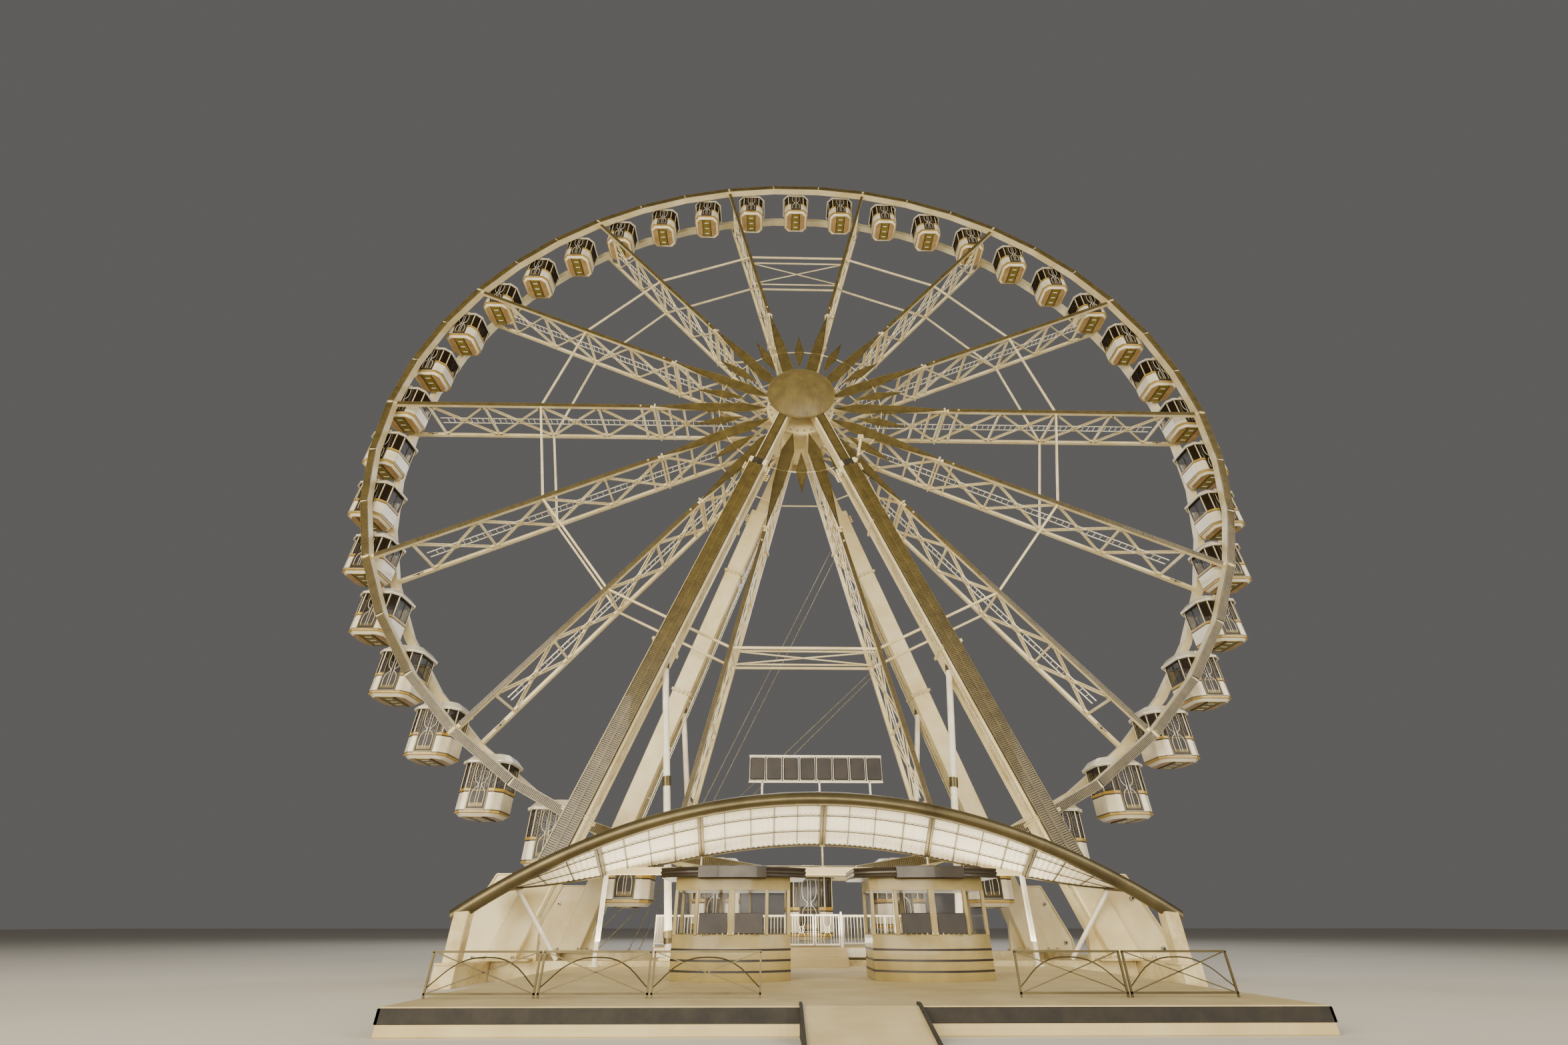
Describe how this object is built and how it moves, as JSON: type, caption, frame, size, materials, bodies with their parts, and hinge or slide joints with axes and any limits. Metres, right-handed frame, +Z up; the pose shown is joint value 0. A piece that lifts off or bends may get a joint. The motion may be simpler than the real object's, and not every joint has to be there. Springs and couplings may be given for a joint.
{
  "type": "ferris wheel, 1:2 scale model",
  "caption": "Transportable ferris wheel: lattice-spoked wheel with level-keeping cabins on four box legs, with base frame, boarding platform, canopy and ticket booths.",
  "frame": {"origin": "on the ground under the middle of the wheel's axle", "axes": "+Z up, +Y along the axle from the front to the back, +X to the right seen from the front"},
  "size_m": [28.9088, 12.55, 29.78],
  "materials": {
    "ivory_steel": "ivory gloss enamel on steel",
    "light_panel": "gold-brown ribbed lamp panels",
    "canopy_sheet": "translucent cream corrugated sheet on a bronze tube",
    "cabin_shell": "ivory white moulded shell with yellow-cream trim",
    "booth_panel": "olive-gold enamel with a polished roof band",
    "deck": "tan slip-resistant deck boards with a dark edge",
    "rail_white": "white enamelled railings"
  },
  "bodies": {
    "stand": {"axle": "ivory_steel", "front_axle_cover": "light_panel", "front_leg_left": "ivory_steel", "front_leg_right": "ivory_steel", "rear_leg_left": "ivory_steel", "rear_leg_right": "ivory_steel", "base_frame": "ivory_steel", "boarding_platform": "deck", "canopy": "canopy_sheet", "ticket_booth_left": "booth_panel", "ticket_booth_right": "booth_panel"},
    "wheel": {"hub_and_inner_spokes": "ivory_steel", "outer_spokes_and_ties": "ivory_steel", "front_rim": "ivory_steel", "rear_rim": "ivory_steel", "front_light_panels": "light_panel"},
    "cabin_01": {"cabin_01": "cabin_shell"},
    "cabin_02": {"cabin_02": "cabin_shell"},
    "cabin_03": {"cabin_03": "cabin_shell"},
    "cabin_04": {"cabin_04": "cabin_shell"},
    "cabin_05": {"cabin_05": "cabin_shell"},
    "cabin_06": {"cabin_06": "cabin_shell"},
    "cabin_07": {"cabin_07": "cabin_shell"},
    "cabin_08": {"cabin_08": "cabin_shell"},
    "cabin_09": {"cabin_09": "cabin_shell"},
    "cabin_10": {"cabin_10": "cabin_shell"},
    "cabin_11": {"cabin_11": "cabin_shell"},
    "cabin_12": {"cabin_12": "cabin_shell"},
    "cabin_13": {"cabin_13": "cabin_shell"},
    "cabin_14": {"cabin_14": "cabin_shell"},
    "cabin_15": {"cabin_15": "cabin_shell"},
    "cabin_16": {"cabin_16": "cabin_shell"},
    "cabin_17": {"cabin_17": "cabin_shell"},
    "cabin_18": {"cabin_18": "cabin_shell"},
    "cabin_19": {"cabin_19": "cabin_shell"},
    "cabin_20": {"cabin_20": "cabin_shell"},
    "cabin_21": {"cabin_21": "cabin_shell"},
    "cabin_22": {"cabin_22": "cabin_shell"},
    "cabin_23": {"cabin_23": "cabin_shell"},
    "cabin_24": {"cabin_24": "cabin_shell"},
    "cabin_25": {"cabin_25": "cabin_shell"},
    "cabin_26": {"cabin_26": "cabin_shell"},
    "cabin_27": {"cabin_27": "cabin_shell"},
    "cabin_28": {"cabin_28": "cabin_shell"},
    "cabin_29": {"cabin_29": "cabin_shell"},
    "cabin_30": {"cabin_30": "cabin_shell"},
    "cabin_31": {"cabin_31": "cabin_shell"},
    "cabin_32": {"cabin_32": "cabin_shell"},
    "cabin_33": {"cabin_33": "cabin_shell"},
    "cabin_34": {"cabin_34": "cabin_shell"},
    "cabin_35": {"cabin_35": "cabin_shell"},
    "cabin_36": {"cabin_36": "cabin_shell"},
    "cabin_37": {"cabin_37": "cabin_shell"},
    "cabin_38": {"cabin_38": "cabin_shell"},
    "cabin_39": {"cabin_39": "cabin_shell"},
    "cabin_40": {"cabin_40": "cabin_shell"},
    "cabin_41": {"cabin_41": "cabin_shell"},
    "cabin_42": {"cabin_42": "cabin_shell"},
    "gate_left": {"gate_left": "rail_white"},
    "gate_right": {"gate_right": "rail_white"}
  },
  "joints": [
    {"name": "wheel_spin", "type": "hinge", "parent": "stand", "child": "wheel", "pos_m": [0, 0, 15.75], "axis": [0, 1, 0], "continuous": true},
    {"name": "cabin_01_pivot", "type": "hinge", "parent": "wheel", "child": "cabin_01", "pos_m": [0, 0, 29.65], "axis": [0, 1, 0], "continuous": true},
    {"name": "cabin_02_pivot", "type": "hinge", "parent": "wheel", "child": "cabin_02", "pos_m": [2.0717, 0, 29.4947], "axis": [0, 1, 0], "continuous": true},
    {"name": "cabin_03_pivot", "type": "hinge", "parent": "wheel", "child": "cabin_03", "pos_m": [4.0971, 0, 29.0325], "axis": [0, 1, 0], "continuous": true},
    {"name": "cabin_04_pivot", "type": "hinge", "parent": "wheel", "child": "cabin_04", "pos_m": [6.031, 0, 28.2735], "axis": [0, 1, 0], "continuous": true},
    {"name": "cabin_05_pivot", "type": "hinge", "parent": "wheel", "child": "cabin_05", "pos_m": [7.8301, 0, 27.2347], "axis": [0, 1, 0], "continuous": true},
    {"name": "cabin_06_pivot", "type": "hinge", "parent": "wheel", "child": "cabin_06", "pos_m": [9.4544, 0, 25.9394], "axis": [0, 1, 0], "continuous": true},
    {"name": "cabin_07_pivot", "type": "hinge", "parent": "wheel", "child": "cabin_07", "pos_m": [10.8675, 0, 24.4165], "axis": [0, 1, 0], "continuous": true},
    {"name": "cabin_08_pivot", "type": "hinge", "parent": "wheel", "child": "cabin_08", "pos_m": [12.0378, 0, 22.7], "axis": [0, 1, 0], "continuous": true},
    {"name": "cabin_09_pivot", "type": "hinge", "parent": "wheel", "child": "cabin_09", "pos_m": [12.9391, 0, 20.8282], "axis": [0, 1, 0], "continuous": true},
    {"name": "cabin_10_pivot", "type": "hinge", "parent": "wheel", "child": "cabin_10", "pos_m": [13.5515, 0, 18.843], "axis": [0, 1, 0], "continuous": true},
    {"name": "cabin_11_pivot", "type": "hinge", "parent": "wheel", "child": "cabin_11", "pos_m": [13.8611, 0, 16.7887], "axis": [0, 1, 0], "continuous": true},
    {"name": "cabin_12_pivot", "type": "hinge", "parent": "wheel", "child": "cabin_12", "pos_m": [13.8611, 0, 14.7113], "axis": [0, 1, 0], "continuous": true},
    {"name": "cabin_13_pivot", "type": "hinge", "parent": "wheel", "child": "cabin_13", "pos_m": [13.5515, 0, 12.657], "axis": [0, 1, 0], "continuous": true},
    {"name": "cabin_14_pivot", "type": "hinge", "parent": "wheel", "child": "cabin_14", "pos_m": [12.9391, 0, 10.6718], "axis": [0, 1, 0], "continuous": true},
    {"name": "cabin_15_pivot", "type": "hinge", "parent": "wheel", "child": "cabin_15", "pos_m": [12.0378, 0, 8.8], "axis": [0, 1, 0], "continuous": true},
    {"name": "cabin_16_pivot", "type": "hinge", "parent": "wheel", "child": "cabin_16", "pos_m": [10.8675, 0, 7.0835], "axis": [0, 1, 0], "continuous": true},
    {"name": "cabin_17_pivot", "type": "hinge", "parent": "wheel", "child": "cabin_17", "pos_m": [9.4544, 0, 5.5606], "axis": [0, 1, 0], "continuous": true},
    {"name": "cabin_18_pivot", "type": "hinge", "parent": "wheel", "child": "cabin_18", "pos_m": [7.8301, 0, 4.2653], "axis": [0, 1, 0], "continuous": true},
    {"name": "cabin_19_pivot", "type": "hinge", "parent": "wheel", "child": "cabin_19", "pos_m": [6.031, 0, 3.2265], "axis": [0, 1, 0], "continuous": true},
    {"name": "cabin_20_pivot", "type": "hinge", "parent": "wheel", "child": "cabin_20", "pos_m": [4.0971, 0, 2.4675], "axis": [0, 1, 0], "continuous": true},
    {"name": "cabin_21_pivot", "type": "hinge", "parent": "wheel", "child": "cabin_21", "pos_m": [2.0717, 0, 2.0053], "axis": [0, 1, 0], "continuous": true},
    {"name": "cabin_22_pivot", "type": "hinge", "parent": "wheel", "child": "cabin_22", "pos_m": [0, 0, 1.85], "axis": [0, 1, 0], "continuous": true},
    {"name": "cabin_23_pivot", "type": "hinge", "parent": "wheel", "child": "cabin_23", "pos_m": [-2.0717, 0, 2.0053], "axis": [0, 1, 0], "continuous": true},
    {"name": "cabin_24_pivot", "type": "hinge", "parent": "wheel", "child": "cabin_24", "pos_m": [-4.0971, 0, 2.4675], "axis": [0, 1, 0], "continuous": true},
    {"name": "cabin_25_pivot", "type": "hinge", "parent": "wheel", "child": "cabin_25", "pos_m": [-6.031, 0, 3.2265], "axis": [0, 1, 0], "continuous": true},
    {"name": "cabin_26_pivot", "type": "hinge", "parent": "wheel", "child": "cabin_26", "pos_m": [-7.8301, 0, 4.2653], "axis": [0, 1, 0], "continuous": true},
    {"name": "cabin_27_pivot", "type": "hinge", "parent": "wheel", "child": "cabin_27", "pos_m": [-9.4544, 0, 5.5606], "axis": [0, 1, 0], "continuous": true},
    {"name": "cabin_28_pivot", "type": "hinge", "parent": "wheel", "child": "cabin_28", "pos_m": [-10.8675, 0, 7.0835], "axis": [0, 1, 0], "continuous": true},
    {"name": "cabin_29_pivot", "type": "hinge", "parent": "wheel", "child": "cabin_29", "pos_m": [-12.0378, 0, 8.8], "axis": [0, 1, 0], "continuous": true},
    {"name": "cabin_30_pivot", "type": "hinge", "parent": "wheel", "child": "cabin_30", "pos_m": [-12.9391, 0, 10.6718], "axis": [0, 1, 0], "continuous": true},
    {"name": "cabin_31_pivot", "type": "hinge", "parent": "wheel", "child": "cabin_31", "pos_m": [-13.5515, 0, 12.657], "axis": [0, 1, 0], "continuous": true},
    {"name": "cabin_32_pivot", "type": "hinge", "parent": "wheel", "child": "cabin_32", "pos_m": [-13.8611, 0, 14.7113], "axis": [0, 1, 0], "continuous": true},
    {"name": "cabin_33_pivot", "type": "hinge", "parent": "wheel", "child": "cabin_33", "pos_m": [-13.8611, 0, 16.7887], "axis": [0, 1, 0], "continuous": true},
    {"name": "cabin_34_pivot", "type": "hinge", "parent": "wheel", "child": "cabin_34", "pos_m": [-13.5515, 0, 18.843], "axis": [0, 1, 0], "continuous": true},
    {"name": "cabin_35_pivot", "type": "hinge", "parent": "wheel", "child": "cabin_35", "pos_m": [-12.9391, 0, 20.8282], "axis": [0, 1, 0], "continuous": true},
    {"name": "cabin_36_pivot", "type": "hinge", "parent": "wheel", "child": "cabin_36", "pos_m": [-12.0378, 0, 22.7], "axis": [0, 1, 0], "continuous": true},
    {"name": "cabin_37_pivot", "type": "hinge", "parent": "wheel", "child": "cabin_37", "pos_m": [-10.8675, 0, 24.4165], "axis": [0, 1, 0], "continuous": true},
    {"name": "cabin_38_pivot", "type": "hinge", "parent": "wheel", "child": "cabin_38", "pos_m": [-9.4544, 0, 25.9394], "axis": [0, 1, 0], "continuous": true},
    {"name": "cabin_39_pivot", "type": "hinge", "parent": "wheel", "child": "cabin_39", "pos_m": [-7.8301, 0, 27.2347], "axis": [0, 1, 0], "continuous": true},
    {"name": "cabin_40_pivot", "type": "hinge", "parent": "wheel", "child": "cabin_40", "pos_m": [-6.031, 0, 28.2735], "axis": [0, 1, 0], "continuous": true},
    {"name": "cabin_41_pivot", "type": "hinge", "parent": "wheel", "child": "cabin_41", "pos_m": [-4.0971, 0, 29.0325], "axis": [0, 1, 0], "continuous": true},
    {"name": "cabin_42_pivot", "type": "hinge", "parent": "wheel", "child": "cabin_42", "pos_m": [-2.0717, 0, 29.4947], "axis": [0, 1, 0], "continuous": true},
    {"name": "gate_left_hinge", "type": "hinge", "parent": "stand", "child": "gate_left", "pos_m": [-0.475, -2.2, 0.75], "axis": [0, 0, 1], "range_deg": [0, 90]},
    {"name": "gate_right_hinge", "type": "hinge", "parent": "stand", "child": "gate_right", "pos_m": [0.475, -2.2, 0.75], "axis": [0, 0, -1], "range_deg": [0, 90]}
  ],
  "couplings": [
    {"joint": "cabin_01_pivot", "follows": "wheel_spin", "ratio": -1},
    {"joint": "cabin_02_pivot", "follows": "wheel_spin", "ratio": -1},
    {"joint": "cabin_03_pivot", "follows": "wheel_spin", "ratio": -1},
    {"joint": "cabin_04_pivot", "follows": "wheel_spin", "ratio": -1},
    {"joint": "cabin_05_pivot", "follows": "wheel_spin", "ratio": -1},
    {"joint": "cabin_06_pivot", "follows": "wheel_spin", "ratio": -1},
    {"joint": "cabin_07_pivot", "follows": "wheel_spin", "ratio": -1},
    {"joint": "cabin_08_pivot", "follows": "wheel_spin", "ratio": -1},
    {"joint": "cabin_09_pivot", "follows": "wheel_spin", "ratio": -1},
    {"joint": "cabin_10_pivot", "follows": "wheel_spin", "ratio": -1},
    {"joint": "cabin_11_pivot", "follows": "wheel_spin", "ratio": -1},
    {"joint": "cabin_12_pivot", "follows": "wheel_spin", "ratio": -1},
    {"joint": "cabin_13_pivot", "follows": "wheel_spin", "ratio": -1},
    {"joint": "cabin_14_pivot", "follows": "wheel_spin", "ratio": -1},
    {"joint": "cabin_15_pivot", "follows": "wheel_spin", "ratio": -1},
    {"joint": "cabin_16_pivot", "follows": "wheel_spin", "ratio": -1},
    {"joint": "cabin_17_pivot", "follows": "wheel_spin", "ratio": -1},
    {"joint": "cabin_18_pivot", "follows": "wheel_spin", "ratio": -1},
    {"joint": "cabin_19_pivot", "follows": "wheel_spin", "ratio": -1},
    {"joint": "cabin_20_pivot", "follows": "wheel_spin", "ratio": -1},
    {"joint": "cabin_21_pivot", "follows": "wheel_spin", "ratio": -1},
    {"joint": "cabin_22_pivot", "follows": "wheel_spin", "ratio": -1},
    {"joint": "cabin_23_pivot", "follows": "wheel_spin", "ratio": -1},
    {"joint": "cabin_24_pivot", "follows": "wheel_spin", "ratio": -1},
    {"joint": "cabin_25_pivot", "follows": "wheel_spin", "ratio": -1},
    {"joint": "cabin_26_pivot", "follows": "wheel_spin", "ratio": -1},
    {"joint": "cabin_27_pivot", "follows": "wheel_spin", "ratio": -1},
    {"joint": "cabin_28_pivot", "follows": "wheel_spin", "ratio": -1},
    {"joint": "cabin_29_pivot", "follows": "wheel_spin", "ratio": -1},
    {"joint": "cabin_30_pivot", "follows": "wheel_spin", "ratio": -1},
    {"joint": "cabin_31_pivot", "follows": "wheel_spin", "ratio": -1},
    {"joint": "cabin_32_pivot", "follows": "wheel_spin", "ratio": -1},
    {"joint": "cabin_33_pivot", "follows": "wheel_spin", "ratio": -1},
    {"joint": "cabin_34_pivot", "follows": "wheel_spin", "ratio": -1},
    {"joint": "cabin_35_pivot", "follows": "wheel_spin", "ratio": -1},
    {"joint": "cabin_36_pivot", "follows": "wheel_spin", "ratio": -1},
    {"joint": "cabin_37_pivot", "follows": "wheel_spin", "ratio": -1},
    {"joint": "cabin_38_pivot", "follows": "wheel_spin", "ratio": -1},
    {"joint": "cabin_39_pivot", "follows": "wheel_spin", "ratio": -1},
    {"joint": "cabin_40_pivot", "follows": "wheel_spin", "ratio": -1},
    {"joint": "cabin_41_pivot", "follows": "wheel_spin", "ratio": -1},
    {"joint": "cabin_42_pivot", "follows": "wheel_spin", "ratio": -1}
  ]
}
